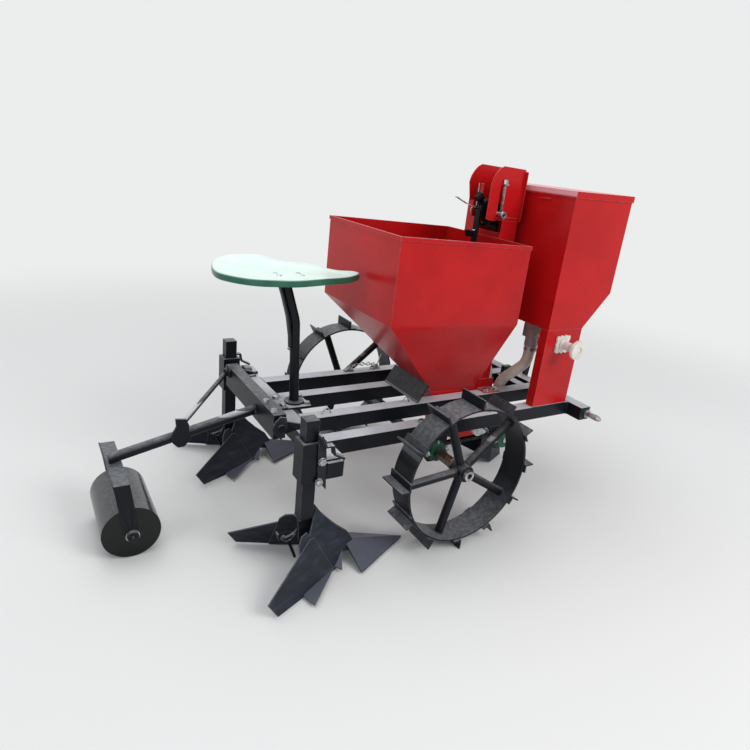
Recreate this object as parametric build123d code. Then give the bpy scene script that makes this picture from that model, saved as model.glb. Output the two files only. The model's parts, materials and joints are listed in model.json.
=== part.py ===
from build123d import *
import os
from math import atan2, cos, degrees, hypot, radians, sin

# Single row potato planter for a small tractor, in millimetres.
# X points forward to the hitch, Y to the machine's left, Z up, and the floor is at Z = 0.

# Wheels and axle
RIM_R = 230
LUG_H = 33
AXLE_Z = RIM_R + LUG_H
RIM_WALL = 6
RIM_WIDTH = 92
TRACK_Y = 424
LUG_COUNT = 12
LUG_LENGTH = 108
SPOKE_R = 14
SPOKE_ANGLES = (112, 40, -32, -104, -176)
AXLE_R = 17
AXLE_END = 466

# Frame of square tube
TUBE = 50
TUBE_WALL = 4
FRAME_TOP = 361
FRAME_BOT = FRAME_TOP - TUBE
REAR_X = -442
FRONT_X = 651
REAR_END = 395
FRONT_END = 340
OUTER_Y = 249
INNER_Y = 91

# Potato hopper: x rear, x front, half width, z rear, z front
RIM = (-200, 320, 230, 962, 942)
FOLD = (-202, 322, 230, 689, 674)
BOTTOM = (118, 328, 62, 377, 377 - 210 * 15 / 524)
SHEET = 2.5

# Cup elevator
LIFT_X = (296, 308)
LIFT_Z = (AXLE_Z, 1023)
LIFT_R = 44
BELT = 4
CUP_R = 18
CUP_DEPTH = 22
DUCT = (328, 400, 60)
HEAD_TOP = 1183
CUP_STEP = 95

# Fertiliser box
BOX_X = (436, 722)
BOX_FOOT_X = 610
BOX_Y = 272
BOX_Z = (656, 785, 1127)
LEG_DEPTH = 36

# Ridgers on the rear cross beam
POST_X = -510
POST_Y = 354
POST = 40
POST_TOP = 488
RAISED = 74
SLEEVE = 60
SLEEVE_Z = (302, 424)

# Press roller
ROLL_X = -942
ROLL_R = 82
ROLL_HALF = 125
ROLL_Z = ROLL_R + 1
PIVOT = (-518, 375)
BAR_Y = (-165, 300)

# Seat
SEAT_X = -438
SEAT_Y = 17
SEAT_Z = 800
SEAT_BEND = 4000
SEAT_TURN = -15


def block(x0, x1, y0, y1, z0, z1):
    return Pos((x0 + x1) / 2, (y0 + y1) / 2, (z0 + z1) / 2) * Box(x1 - x0, y1 - y0, z1 - z0)


def rod_y(x, z, y0, y1, r):
    return Pos(x, (y0 + y1) / 2, z) * Rot(90, 0, 0) * Cylinder(r, y1 - y0)


def rod_z(x, y, z0, z1, r):
    return Pos(x, y, (z0 + z1) / 2) * Cylinder(r, z1 - z0)


def rod(a, b, r):
    a, b = Vector(*a), Vector(*b)
    turn = Plane(origin=(0, 0, 0), z_dir=b - a).location
    return Pos(*((a + b) * 0.5)) * turn * Cylinder(r, (b - a).length)


def plate_y(points, y0, y1):
    # Outline in X and Z, thick from y0 to y1
    outline = make_face(Polyline(*[(x, y0, z) for x, z in points], close=True))
    return extrude(outline, amount=y1 - y0, dir=(0, 1, 0))


def quad(points):
    return make_face(Polyline(*points, close=True))


def hexa(first, second):
    return loft([quad(first), quad(second)], ruled=True)


def level(row, grow=0, lift=0):
    # A level line of the hopper, moved outwards and up, that keeps its slope
    x0, x1, y, z0, z1 = row
    fall = (z1 - z0) / (x1 - x0)
    x0, x1, y = x0 - grow, x1 + grow, y + grow
    z0, z1 = z0 - grow * fall + lift, z1 + grow * fall + lift
    return [(x0, -y, z0), (x1, -y, z1), (x1, y, z1), (x0, y, z0)]


def mirror_y(shape):
    return mirror(shape, about=Plane.XZ)


def tube_x(x0, x1, y):
    outer = block(x0, x1, y - TUBE / 2, y + TUBE / 2, FRAME_BOT, FRAME_TOP)
    t = TUBE_WALL
    half = TUBE / 2 - t
    return outer - block(x0 - 1, x1 + 1, y - half, y + half, FRAME_BOT + t, FRAME_TOP - t)


def tube_y(x, end):
    # Closed at both ends by a welded cap
    outer = block(x - TUBE / 2, x + TUBE / 2, -end, end, FRAME_BOT, FRAME_TOP)
    t = TUBE_WALL
    half = TUBE / 2 - t
    return outer - block(x - half, x + half, -end + t, end - t, FRAME_BOT + t, FRAME_TOP - t)


parts = {}

# Frame
RAIL = (REAR_X + TUBE / 2, FRONT_X - TUBE / 2)
for name, y in (("outer_beam_left", OUTER_Y), ("inner_beam_left", INNER_Y),
                ("inner_beam_right", -INNER_Y), ("outer_beam_right", -OUTER_Y)):
    parts[name] = tube_x(RAIL[0], RAIL[1], y)
parts["rear_cross_beam"] = tube_y(REAR_X, REAR_END)
parts["front_cross_beam"] = tube_y(FRONT_X, FRONT_END)

# Hitch: two lower pins and the mast for the top link
PIN_R = 11
PIN_Z = (FRAME_BOT + FRAME_TOP) / 2
PIN_X = FRONT_X + 10
pin = rod_y(PIN_X, PIN_Z, FRONT_END, FRONT_END + 6, 17)
pin += rod_y(PIN_X, PIN_Z, FRONT_END + 6, FRONT_END + 54, PIN_R)
pin += Pos(PIN_X, FRONT_END + 60, PIN_Z) * Rot(-90, 0, 0) * Cone(PIN_R, 6, 12)
pin -= rod_z(PIN_X, FRONT_END + 44, PIN_Z - 20, PIN_Z + 20, 4)
parts["hitch_pin_left"] = pin
parts["hitch_pin_right"] = mirror_y(pin)

MAST_HOLE = (757, 790)
MAST_GAP = 22
MAST_FRONT = 776
front_face = FRONT_X + TUBE / 2
mast_outline = [(front_face, FRAME_BOT), (front_face + 22, FRAME_BOT), (front_face + 30, FRAME_BOT + 90),
                (MAST_FRONT, 770), (MAST_FRONT, 806), (762, 816), (744, 812), (736, 796),
                (front_face, FRAME_TOP + 60)]
mast = plate_y(mast_outline, MAST_GAP, MAST_GAP + 10)
mast -= rod_y(MAST_HOLE[0], MAST_HOLE[1], MAST_GAP - 1, MAST_GAP + 11, 9.5)
parts["mast_plates"] = mast + mirror_y(mast)

# Wheels: band, spokes, hub and lugs in one welded piece each
band_in = TRACK_Y - RIM_WIDTH / 2
band_out = TRACK_Y + RIM_WIDTH / 2
wheel = rod_y(0, AXLE_Z, band_in, band_out, RIM_R)
wheel -= rod_y(0, AXLE_Z, band_in - 1, band_out + 1, RIM_R - RIM_WALL)
wheel += rod_y(0, AXLE_Z, TRACK_Y - 28, TRACK_Y + 28, 27)
for angle in SPOKE_ANGLES:
    c, s = cos(radians(angle)), sin(radians(angle))
    r1 = RIM_R - RIM_WALL + 2
    wheel += rod((22 * c, TRACK_Y, AXLE_Z + 22 * s), (r1 * c, TRACK_Y, AXLE_Z + r1 * s), SPOKE_R)
lug = block(-2.5, 2.5, TRACK_Y - LUG_LENGTH / 2, TRACK_Y + LUG_LENGTH / 2, RIM_R - 1, RIM_R + LUG_H)
lug += block(-2.5, 26, TRACK_Y - LUG_LENGTH / 2, TRACK_Y + LUG_LENGTH / 2, RIM_R - 1.5, RIM_R + 4)
for k in range(LUG_COUNT):
    wheel += Pos(0, 0, AXLE_Z) * Rot(0, 360 / LUG_COUNT * k, 0) * lug
wheel -= rod_y(0, AXLE_Z, TRACK_Y - 40, TRACK_Y + 40, AXLE_R)
parts["wheel_left"] = wheel
parts["wheel_right"] = mirror_y(wheel)
axle = rod_y(0, AXLE_Z, -AXLE_END, AXLE_END, AXLE_R)
for side in (1, -1):
    y0, y1 = sorted((side * (AXLE_END - 60), side * (AXLE_END + 1)))
    axle -= rod_y(0, AXLE_Z, y0, y1, 9)
parts["wheel_axle"] = axle

# Bearing hangers under the outer beams, each with its cast flange housing on the outside
SEAT_PLATE = (OUTER_Y + TUBE / 2 - 8, OUTER_Y + TUBE / 2)


def hanger(x, hole):
    # An angle: its flange is bolted under the beam, its web carries the housing
    plate = block(x - 62, x + 62, OUTER_Y - 22, SEAT_PLATE[1], FRAME_BOT - 8, FRAME_BOT)
    web = [(x - 50, FRAME_BOT - 8), (x + 50, FRAME_BOT - 8), (x + 50, AXLE_Z - 8), (x + 20, AXLE_Z - 44),
           (x - 20, AXLE_Z - 44), (x - 50, AXLE_Z - 8)]
    return plate + plate_y(web, *SEAT_PLATE) - rod_y(x, AXLE_Z, OUTER_Y, OUTER_Y + 40, hole)


def housing(x, hole):
    # An oval flange with two ears and a round boss
    y0 = SEAT_PLATE[1]
    oval = [(x - 49, AXLE_Z + 9), (x - 49, AXLE_Z - 9), (x - 18, AXLE_Z - 33), (x + 18, AXLE_Z - 33),
            (x + 49, AXLE_Z - 9), (x + 49, AXLE_Z + 9), (x + 18, AXLE_Z + 33), (x - 18, AXLE_Z + 33)]
    body = plate_y(oval, y0, y0 + 11) + rod_y(x, AXLE_Z, y0, y0 + 26, 31)
    return body - rod_y(x, AXLE_Z, y0 - 1, y0 + 27, hole)


SHAFT_R = 10
axle_seat = hanger(0, AXLE_R + 4)
axle_unit = housing(0, AXLE_R + 0.08)
parts["bearing_hangers"] = axle_seat + mirror_y(axle_seat + hanger(LIFT_X[0], SHAFT_R + 4))
parts["axle_bearings"] = axle_unit + mirror_y(axle_unit + housing(LIFT_X[0], SHAFT_R))

# Drive: sprocket on the axle, chain to the elevator's lower shaft
DRIVE_Y = (-176, -164)
SPROCKET_R = 44
sprocket = rod_y(0, AXLE_Z, DRIVE_Y[0], DRIVE_Y[1], SPROCKET_R)
sprocket += rod_y(0, AXLE_Z, DRIVE_Y[0] - 12, DRIVE_Y[1] + 12, 27)
parts["axle_sprocket"] = sprocket - rod_y(0, AXLE_Z, DRIVE_Y[0] - 20, DRIVE_Y[1] + 20, AXLE_R)


def loop_band(x0, z0, x1, z1, r_in, r_out, y0, y1):
    # A closed band round two round wheels of equal size
    along = (x1 - x0, z1 - z0)
    size = hypot(along[0], along[1])
    nx, nz = -along[1] / size, along[0] / size

    def body(r, a, b):
        corners = [(x0 + r * nx, z0 + r * nz), (x1 + r * nx, z1 + r * nz),
                   (x1 - r * nx, z1 - r * nz), (x0 - r * nx, z0 - r * nz)]
        return plate_y(corners, a, b) + rod_y(x0, z0, a, b, r) + rod_y(x1, z1, a, b, r)

    return body(r_out, y0, y1) - body(r_in, y0 - 1, y1 + 1)


parts["drive_chain"] = loop_band(0, AXLE_Z, LIFT_X[0], AXLE_Z, SPROCKET_R + 1, SPROCKET_R + 9,
                                 DRIVE_Y[0] + 1, DRIVE_Y[1] - 1)

# Potato hopper, open above and below, with a folded rim
hopper = loft([quad(level(RIM)), quad(level(FOLD))], ruled=True)
hopper += loft([quad(level(FOLD)), quad(level(BOTTOM))], ruled=True)
lip = loft([quad(level(RIM, 3)), quad(level(RIM, 3, -12))], ruled=True)
hopper += lip
slope = (FOLD[3] - BOTTOM[3]) / (BOTTOM[0] - FOLD[0])
inner = loft([quad(level(RIM, -SHEET, 5)), quad(level(FOLD, -SHEET))], ruled=True)
inner += loft([quad(level(FOLD, -SHEET)), quad(level(BOTTOM, -SHEET))], ruled=True)
inner += loft([quad(level(BOTTOM, -SHEET)), quad(level(BOTTOM, -SHEET, -20))], ruled=True)
parts["potato_hopper"] = hopper - inner - block(DUCT[0], 360, -DUCT[2], DUCT[2], 300, 1000)

# Rear support plate under the hopper's slope, and feet beside the duct
gusset_top = 70
gusset_z = FOLD[3] - (gusset_top - FOLD[0]) * slope - 1
parts["hopper_support"] = hexa([(24, -112, FRAME_TOP), (29, -112, FRAME_TOP),
                                (29, 112, FRAME_TOP), (24, 112, FRAME_TOP)],
                               [(gusset_top - 5, -112, gusset_z + 5), (gusset_top, -112, gusset_z),
                                (gusset_top, 112, gusset_z), (gusset_top - 5, 112, gusset_z + 5)])
foot = block(345, 420, DUCT[2], DUCT[2] + 4, FRAME_TOP, FRAME_TOP + 42)
foot += block(345, 420, DUCT[2], 108, FRAME_TOP, FRAME_TOP + 4)
parts["duct_feet"] = foot + mirror_y(foot)

# Elevator duct, boot and head plates
x0, x1, y = DUCT
duct = block(x0, x1, -y, y, 158, HEAD_TOP - 20)
duct -= block(x0 + SHEET, x1 - SHEET, -y + SHEET, y - SHEET, 150, HEAD_TOP)
duct -= block(x0 - 1, x1 - SHEET, -y - 1, y + 1, 1003, HEAD_TOP)
for side in (1, -1):
    ya, yb = sorted((side * (y - 3), side * (y + 1)))
    duct -= block(x0, x1 + 1, ya, yb, 1003, HEAD_TOP)
duct -= block(x0 - 1, x0 + SHEET + 1, -y + SHEET, y - SHEET, 960, 1010)
duct -= block(x0 - 1, x0 + SHEET + 1, -y + SHEET, y - SHEET, 150, BOTTOM[4])
parts["elevator_duct"] = duct
boot_outer = [(BOTTOM[0], BOTTOM[3] - 1), (188, 263), (208, 200), (246, 166), (292, 155), (x0, 155),
              (x0, BOTTOM[4])]
boot_inner = [(BOTTOM[0] + 3, BOTTOM[3] + 5), (192, 264), (211, 203), (248, 169), (292, 158),
              (x0 + 5, 158), (x0 + 5, BOTTOM[4] + 5)]
boot = plate_y(boot_outer, -y, y) - plate_y(boot_inner, -y + SHEET, y - SHEET)
boot -= rod_y(LIFT_X[0], LIFT_Z[0], -y - 5, y + 5, SHAFT_R)
parts["elevator_boot"] = boot

# Head plates with a slot each, in which the head shaft is drawn up to tighten the chain
SLOT_TOP = 1118
HEAD_ARC = [(396, 1179), (298, HEAD_TOP), (282, 1175), (268, 1160), (257, 1142), (251, 1120)]
HEAD_FOOT = {1: [(264, 1059), (282, 1059), (282, 1003)], -1: [(251, 1006), (282, 1000), (300, 1003)]}
for name, side in (("head_plate_left", 1), ("head_plate_right", -1)):
    ya, yb = sorted((side * 57, side * 60))
    yc, yd = sorted((side * 60, side * 74))
    plate = plate_y([(400, 1003), (400, 1176)] + HEAD_ARC + HEAD_FOOT[side], ya, yb)
    plate -= block(LIFT_X[1] - 12, LIFT_X[1] + 12, ya - 1, yb + 1, LIFT_Z[1] - SHAFT_R, SLOT_TOP)
    plate += block(397, 400, yc, yd, 1003, 1172)
    parts[name] = plate

# Cup chain: a flat chain with eight-sided pressed cups on stems, in one fixed loop
chain = loop_band(LIFT_X[0], LIFT_Z[0], LIFT_X[1], LIFT_Z[1], LIFT_R - BELT, LIFT_R + BELT, -13, 13)
cup = loft([Pos(0, 0, -CUP_DEPTH) * RegularPolygon(CUP_R * 0.62, 8), RegularPolygon(CUP_R, 8)], ruled=True)
cup -= loft([Pos(0, 0, 2 - CUP_DEPTH) * RegularPolygon(CUP_R * 0.62 - 1.5, 8),
             Pos(0, 0, 1) * RegularPolygon(CUP_R - 1.5, 8)], ruled=True)
cup = Pos(LIFT_R + BELT + CUP_R + 5, 0, 0) * cup
cup += block(LIFT_R + BELT - 2, LIFT_R + BELT + 8, -9, 9, -CUP_DEPTH + 3, -2)
run = Vector(LIFT_X[1] - LIFT_X[0], 0, LIFT_Z[1] - LIFT_Z[0])
lean = degrees(atan2(run.X, run.Z))
for k in range(int((run.length - 50) / CUP_STEP) + 1):
    for turn, start in ((180, 30), (0, 66)):
        at = Vector(LIFT_X[0], 0, LIFT_Z[0]) + run.normalized() * (start + CUP_STEP * k)
        flip = Rot(0, 0, 180) if turn else Rot(180, 0, 0)
        chain += Pos(at.X, 0, at.Z) * Rot(0, lean, 0) * flip * cup
for end, angle in ((1, 128), (1, 66), (1, 4), (0, -90)):
    chain += Pos(LIFT_X[end], 0, LIFT_Z[end]) * Rot(0, -angle, 0) * Rot(180, 0, 0) * cup
parts["cup_chain"] = chain

shaft = rod_y(LIFT_X[1], LIFT_Z[1], -80, 80, SHAFT_R)
parts["head_shaft"] = shaft + rod_y(LIFT_X[1], LIFT_Z[1], -16, 16, LIFT_R - BELT)
shaft = rod_y(LIFT_X[0], LIFT_Z[0], -304, 72, SHAFT_R)
shaft += rod_y(LIFT_X[0], LIFT_Z[0], -16, 16, LIFT_R - BELT)
shaft += rod_y(LIFT_X[0], LIFT_Z[0], DRIVE_Y[0], DRIVE_Y[1], SPROCKET_R + 1)
parts["boot_shaft"] = shaft
tension = block(LIFT_X[1] - 3, LIFT_X[1] + 3, 64, 70, LIFT_Z[1] + SHAFT_R, SLOT_TOP + 4)
tension += block(LIFT_X[1] - 9, LIFT_X[1] + 9, 60, 75, SLOT_TOP + 4, SLOT_TOP + 8)
tension += Pos(LIFT_X[1], 67, SLOT_TOP + 8) * extrude(RegularPolygon(8, 6), 14)
parts["tension_rods"] = tension + mirror_y(tension)

# Fertiliser box with its lid
profile = [(BOX_X[0], BOX_Z[0]), (BOX_FOOT_X, BOX_Z[0]), (BOX_X[1], BOX_Z[1]), (BOX_X[1], BOX_Z[2]),
           (BOX_X[0], BOX_Z[2])]
hollow = [(BOX_X[0] + 2, BOX_Z[0] + 2), (BOX_FOOT_X - 1, BOX_Z[0] + 2), (BOX_X[1] - 2, BOX_Z[1] + 0.7),
          (BOX_X[1] - 2, BOX_Z[2] + 5), (BOX_X[0] + 2, BOX_Z[2] + 5)]
parts["fertiliser_box"] = plate_y(profile, -BOX_Y, BOX_Y) - plate_y(hollow, -BOX_Y + 2, BOX_Y - 2)
HINGE = (735, 1106)
LID = (3.5, 1.8)
lid = block(BOX_X[0] - LID[0], BOX_X[1] + LID[0], -BOX_Y - LID[0], BOX_Y + LID[0], 1108, BOX_Z[2] + 3)
lid -= block(BOX_X[0] - LID[1], BOX_X[1] + LID[1], -BOX_Y - LID[1], BOX_Y + LID[1], 1100, BOX_Z[2] + 0.5)
hinge = None
for y in (-150, 150):
    leaf = block(722, 725, y - 20, y + 20, 1076, 1105) + block(722, 735, y - 20, y + 20, 1100, 1104)
    leaf += rod_y(HINGE[0], HINGE[1], y - 20, y + 20, 6)
    leaf += rod_y(HINGE[0], HINGE[1], y - 36, y + 36, 3)
    hinge = leaf if hinge is None else hinge + leaf
    for ya, yb in ((y - 34, y - 21), (y + 21, y + 34)):
        ear = rod_y(HINGE[0], HINGE[1], ya, yb, 6)
        ear += block(725, HINGE[0], ya, yb, HINGE[1] + 2.5, HINGE[1] + 6)
        ear -= rod_y(HINGE[0], HINGE[1], ya - 1, yb + 1, 3.06)
        lid += ear
parts["fertiliser_lid"] = lid
parts["lid_hinges"] = hinge

# Side legs of the box, metering units, outlets and hoses
METER = (517, 602)
OUTLET_Y = 127
HOSE_END = (480, 36, 284)
hose_points = [(METER[0], OUTLET_Y, 550), (METER[0], OUTLET_Y, 480), (HOSE_END[0], HOSE_END[1], 372),
               HOSE_END]


def hose_path(points):
    radii = []
    for a, b, c in zip(points, points[1:], points[2:]):
        first, second = Vector(*b) - Vector(*a), Vector(*c) - Vector(*b)
        half = radians(first.get_angle(second)) / 2
        radii.append(0.45 * min(first.length, second.length) / (sin(half) / cos(half)))
    print("hose radii", [round(r) for r in radii])
    return FilletPolyline(*points, radius=radii)


leg = block(BOX_X[0], BOX_FOOT_X, BOX_Y - LEG_DEPTH, BOX_Y, FRAME_TOP, BOX_Z[0])
leg -= block(BOX_X[0] + 3, BOX_FOOT_X - 3, BOX_Y - LEG_DEPTH - 1, BOX_Y - 3, FRAME_TOP + 3, BOX_Z[0] + 1)
leg -= rod_y(METER[0], METER[1], BOX_Y - 10, BOX_Y + 1, 6)
parts["box_leg_left"] = leg
parts["box_leg_right"] = mirror_y(leg)
meter = block(METER[0] - 30, METER[0] + 30, BOX_Y, BOX_Y + 5, METER[1] - 30, METER[1] + 30)
meter += rod_y(METER[0], METER[1], OUTLET_Y + 15, BOX_Y, 6)
meter += rod_y(METER[0], METER[1], BOX_Y, BOX_Y + 70, 13)
meter += rod_y(METER[0], METER[1], BOX_Y + 70, BOX_Y + 82, 34)
parts["metering_units"] = meter + mirror_y(meter)
outlet = block(METER[0] - 27, METER[0] + 27, OUTLET_Y - 25, OUTLET_Y + 25, 585, BOX_Z[0])
outlet += rod_z(METER[0], OUTLET_Y, 550, 585, 24)
outlet -= rod_y(METER[0], METER[1], OUTLET_Y + 15, OUTLET_Y + 26, 6)
parts["fertiliser_outlets"] = outlet + mirror_y(outlet)
path = hose_path(hose_points)
hose = sweep(Plane(origin=hose_points[0], z_dir=(0, 0, -1)) * Circle(21), path=path)
print("hose", round(path.length), round(hose.volume / (3.14159265 * 21 * 21 * path.length), 4))
parts["fertiliser_hoses"] = hose + mirror_y(hose)

# Furrow opener under the inner beams
shank = block(524, 562, -10, 10, 90, 420)
parts["opener_shank"] = shank + block(562, 602, -66, 66, 317, 357)
shoe = block(524, 562, -40, 40, 90, 128)
for side in (1, -1):
    shoe += hexa([(598, side * -3, 3), (598, side * 5, 3), (560, side * 5, 150), (560, side * -3, 150)],
                 [(500, side * 46, 3), (500, side * 50, 3), (500, side * 50, 150), (500, side * 46, 150)])
    shoe += hexa([(500, side * 46, 3), (500, side * 50, 3), (500, side * 50, 150), (500, side * 46, 150)],
                 [(420, side * 58, 46), (420, side * 62, 46), (420, side * 62, 150), (420, side * 58, 150)])
parts["opener_shoe"] = shoe - shank
chute = block(436, 508, -62, 62, 140, HOSE_END[2]) - block(440, 504, -58, 58, 130, HOSE_END[2] - 4)
for side in (1, -1):
    chute -= rod_z(HOSE_END[0], side * HOSE_END[1], 270, 295, 18)
parts["fertiliser_chute"] = chute - shoe

# Ridgers: post, clamp sleeve, mouldboards and share, from the post's centre line
# The flat of a mouldboard passes through three points: x, y and z before the ridger is raised
FLAT = ((36.5, -7, 129.7), (171.7, -7, -21.6), (-165, -176, -43))
# Outlines in side view, as x and z: the board and its wing extension
BOARD = [(36, 130), (50, 107), (83, 71), (113, 42), (150, 13), (172, -22), (153, -43), (119, -33), (88, -63),
         (-50, -68), (-43, 60), (-30, 78), (-11, 81), (-1, 69)]
EXTENSION = [(-4, 59), (13, 56), (41, 3), (73, -53), (-51, -68), (-141, -66), (-169, -24)]
# Tabs folded out level with the ground: first root x and z, tip x and y, second root x and z
TABS = ((121, -31, 101, -78, 84, -60), (83, -58, -36, -181, -48, -66))
TAB_Z = -64
PLATE = 4


def board_y(x, z):
    # Solves the flat's plane for y
    a, b, c = (Vector(*p) for p in FLAT)
    normal = (b - a).cross(c - a)
    return a.Y - (normal.X * (x - a.X) + normal.Z * (z - a.Z)) / normal.Y


def board_plate(outline, lift=0):
    # A plate in the flat, on its outer side at the given lift
    a, b, c = (Vector(*p) for p in FLAT)
    inward = (b - a).cross(c - a).normalized()
    if inward.Y < 0:
        inward = inward * -1
    face = quad([Vector(x, board_y(x, z), z) - inward * lift for x, z in outline])
    return Pos(0, 0, RAISED) * extrude(face, amount=PLATE, dir=inward)


def tab(x0, z0, tip_x, tip_y, x1, z1):
    roots = [(x0, board_y(x0, z0) + PLATE / 2, z0), (x1, board_y(x1, z1) + PLATE / 2, z1)]
    face = quad(roots + [(tip_x, tip_y, TAB_Z)])
    return Pos(0, 0, RAISED) * extrude(face, amount=PLATE, dir=(0, 0, 1))


def mouldboard():
    body = board_plate(BOARD) + board_plate(EXTENSION, lift=3)
    for row in TABS:
        body += tab(*row)
    return body


def share_half(side):
    return hexa([(360, 0, 11), (360, 0, 4), (140, 0, 54), (140, 0, 62)],
                [(352, side * 4, 11), (352, side * 4, 4), (151, side * 109, 6), (151, side * 109, 13)])


frog_outline = [(-POST / 2, 176), (POST / 2, 176), (26, 196), (36, 194), (48, 170), (82, 134), (113, 104),
                (148, 72), (158, 44), (60, 44), (-12, 96)]
for name, side in (("left", 1), ("right", -1)):
    at = Pos(POST_X, side * POST_Y, 0)
    post = block(-POST / 2, POST / 2, -POST / 2, POST / 2, 176, POST_TOP)
    post -= block(-POST / 2 + 4, POST / 2 - 4, -POST / 2 + 4, POST / 2 - 4, 175, POST_TOP - 4)
    parts["ridger_post_" + name] = at * post
    sleeve = block(-SLEEVE / 2, SLEEVE / 2, -SLEEVE / 2, SLEEVE / 2, SLEEVE_Z[0], SLEEVE_Z[1])
    sleeve -= block(-POST / 2, POST / 2, -POST / 2, POST / 2, SLEEVE_Z[0] - 1, SLEEVE_Z[1] + 1)
    clamp_x = (SLEEVE / 2, REAR_X + TUBE / 2 + 8 - POST_X)
    for zc in (FRAME_TOP, FRAME_BOT - 6):
        sleeve += block(clamp_x[0] - 1, clamp_x[1], -SLEEVE / 2, SLEEVE / 2, zc, zc + 6)
    sleeve += block(clamp_x[1] - 8, clamp_x[1], -SLEEVE / 2, SLEEVE / 2, FRAME_BOT - 6, FRAME_TOP + 6)
    parts["ridger_sleeve_" + name] = at * sleeve
    board = mouldboard()
    boards = plate_y(frog_outline, -6, 6) + board + mirror_y(board)
    parts["mouldboard_" + name] = at * boards
    share = share_half(1) + share_half(-1)
    parts["ridger_share_" + name] = at * (share - boards)

# Seat pan with a turned rim, broad behind and narrow in front, on its curved post
# Half of the outline, as x and y from the seat's centre
SEAT_HALF = [(-226, 70), (-182, 138), (-102, 179), (-23, 155), (57, 128), (136, 76), (220, 16)]
NOSE_X = 200
seat_corners = SEAT_HALF + [(x, -y) for x, y in reversed(SEAT_HALF)]


def seat_plan(shrink):
    plan = make_face(Polyline(*[(x * (1 - shrink / 225), y * (1 - shrink / 155)) for x, y in seat_corners],
                              close=True))
    plan = fillet(plan.vertices().filter_by(lambda v: v.X > NOSE_X), 28 - shrink)
    plan = fillet(plan.vertices().filter_by(lambda v: v.X < NOSE_X - 50), 60 - shrink)
    return Pos(0, 0, -40) * extrude(plan, amount=110)


seat_at = Pos(SEAT_X, SEAT_Y, SEAT_Z) * Rot(0, 1, SEAT_TURN)
pan = seat_plan(0) & rod_y(0, SEAT_BEND, -220, 220, SEAT_BEND + 4)
pan -= rod_y(0, SEAT_BEND, -300, 300, SEAT_BEND - 14)
pan -= seat_plan(4) & rod_y(0, SEAT_BEND, -300, 300, SEAT_BEND)
seat_path = FilletPolyline((-394, SEAT_Y, FRAME_TOP + 8), (-406, SEAT_Y, 650), (SEAT_X - 11, SEAT_Y, SEAT_Z - 13),
                           radius=130)
post = sweep(Plane(origin=(-394, SEAT_Y, FRAME_TOP + 8), z_dir=seat_path % 0) * Circle(16), path=seat_path)
post += rod_z(-394, SEAT_Y, FRAME_TOP + 6, FRAME_TOP + 13, 33)
post += block(SEAT_X - 50, SEAT_X + 60, SEAT_Y - 30, SEAT_Y + 30, SEAT_Z - 14, SEAT_Z - 2)
post += block(REAR_X - TUBE / 2, -350, SEAT_Y - 45, SEAT_Y + 45, FRAME_TOP, FRAME_TOP + 6)
parts["seat_post"] = post - seat_at * rod_y(0, SEAT_BEND, -300, 300, SEAT_BEND + 4)
parts["seat_pan"] = seat_at * pan

# Press roller on its swinging arm
px, pz = PIVOT
bar = block(px - 20, px + 20, BAR_Y[0], BAR_Y[1], pz - 40, pz + 40)
bar -= block(px - 15, px + 21, BAR_Y[0] + 5, BAR_Y[1] - 5, pz - 35, pz + 35)
bar -= rod_y(px, pz, BAR_Y[0] - 1, BAR_Y[1] + 1, 8.06)
parts["roller_bar"] = bar
lugs = None
bolts = None
for end_y, way in ((BAR_Y[0], -1), (BAR_Y[1], 1)):
    inner_y, outer_y, head_y = end_y + way, end_y + 9 * way, end_y + 18 * way
    a, b = sorted((inner_y, outer_y))
    ear = rod_y(px, pz, a, b, 24)
    ear += plate_y([(px, pz - 24), (REAR_X - TUBE / 2, FRAME_TOP), (-424, FRAME_TOP),
                    (-424, FRAME_TOP + 10), (px, pz + 24)], a, b)
    ear -= rod_y(px, pz, a - 1, b + 1, 8)
    a, b = sorted((inner_y - 8 * way, outer_y))
    bolt = rod_y(px, pz, a, b, 8)
    a, b = sorted((outer_y, head_y))
    bolt += rod_y(px, pz, a, b, 13)
    lugs = ear if lugs is None else lugs + ear
    bolts = bolt if bolts is None else bolts + bolt
parts["pivot_lugs"] = lugs + bolts
ARM_A = (px - 20, 0, 366)
ARM_B = (-980, 0, 265)
direction = (Vector(*ARM_B) - Vector(*ARM_A)).normalized()
arm_start = Vector(*ARM_A) - direction * 12
arm = rod(tuple(arm_start), ARM_B, 16)
arm -= rod(tuple(arm_start - direction), tuple(Vector(*ARM_B) + direction), 12)
arm -= block(px - 20, px + 60, -40, 40, 300, 450)
arm_plate = [(-802, 298), (-786, 281), (-768, 281), (-744, 306), (-752, 330), (-752, 352), (-760, 372),
             (-792, 376), (-790, 350), (-803, 326)]
parts["arm_plate"] = plate_y(arm_plate, -24, -16)
parts["roller_brace"] = rod((-770, -8, 349), (px - 29, 282, 387), 8)
FORK_X = -965
FORK_TOP = 251
fork = block(FORK_X - 22, FORK_X + 22, -ROLL_HALF - 14, ROLL_HALF + 14, FORK_TOP - 10, FORK_TOP)
for side in (1, -1):
    a, b = sorted((side * (ROLL_HALF + 6), side * (ROLL_HALF + 14)))
    fork += plate_y([(FORK_X - 22, FORK_TOP), (FORK_X + 22, FORK_TOP), (ROLL_X + 22, ROLL_Z),
                     (ROLL_X - 22, ROLL_Z)], a, b)
    fork += rod_y(ROLL_X, ROLL_Z, a, b, 22)
    fork -= rod_y(ROLL_X, ROLL_Z, a - 1, b + 1, 12)
parts["roller_fork"] = fork
parts["roller_arm"] = arm - fork
parts["roller_pin"] = rod_y(ROLL_X, ROLL_Z, -ROLL_HALF - 22, ROLL_HALF + 22, 12)
roller = rod_y(ROLL_X, ROLL_Z, -ROLL_HALF, ROLL_HALF, ROLL_R)
roller -= rod_y(ROLL_X, ROLL_Z, -ROLL_HALF + 6, ROLL_HALF - 6, ROLL_R - 5)
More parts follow.
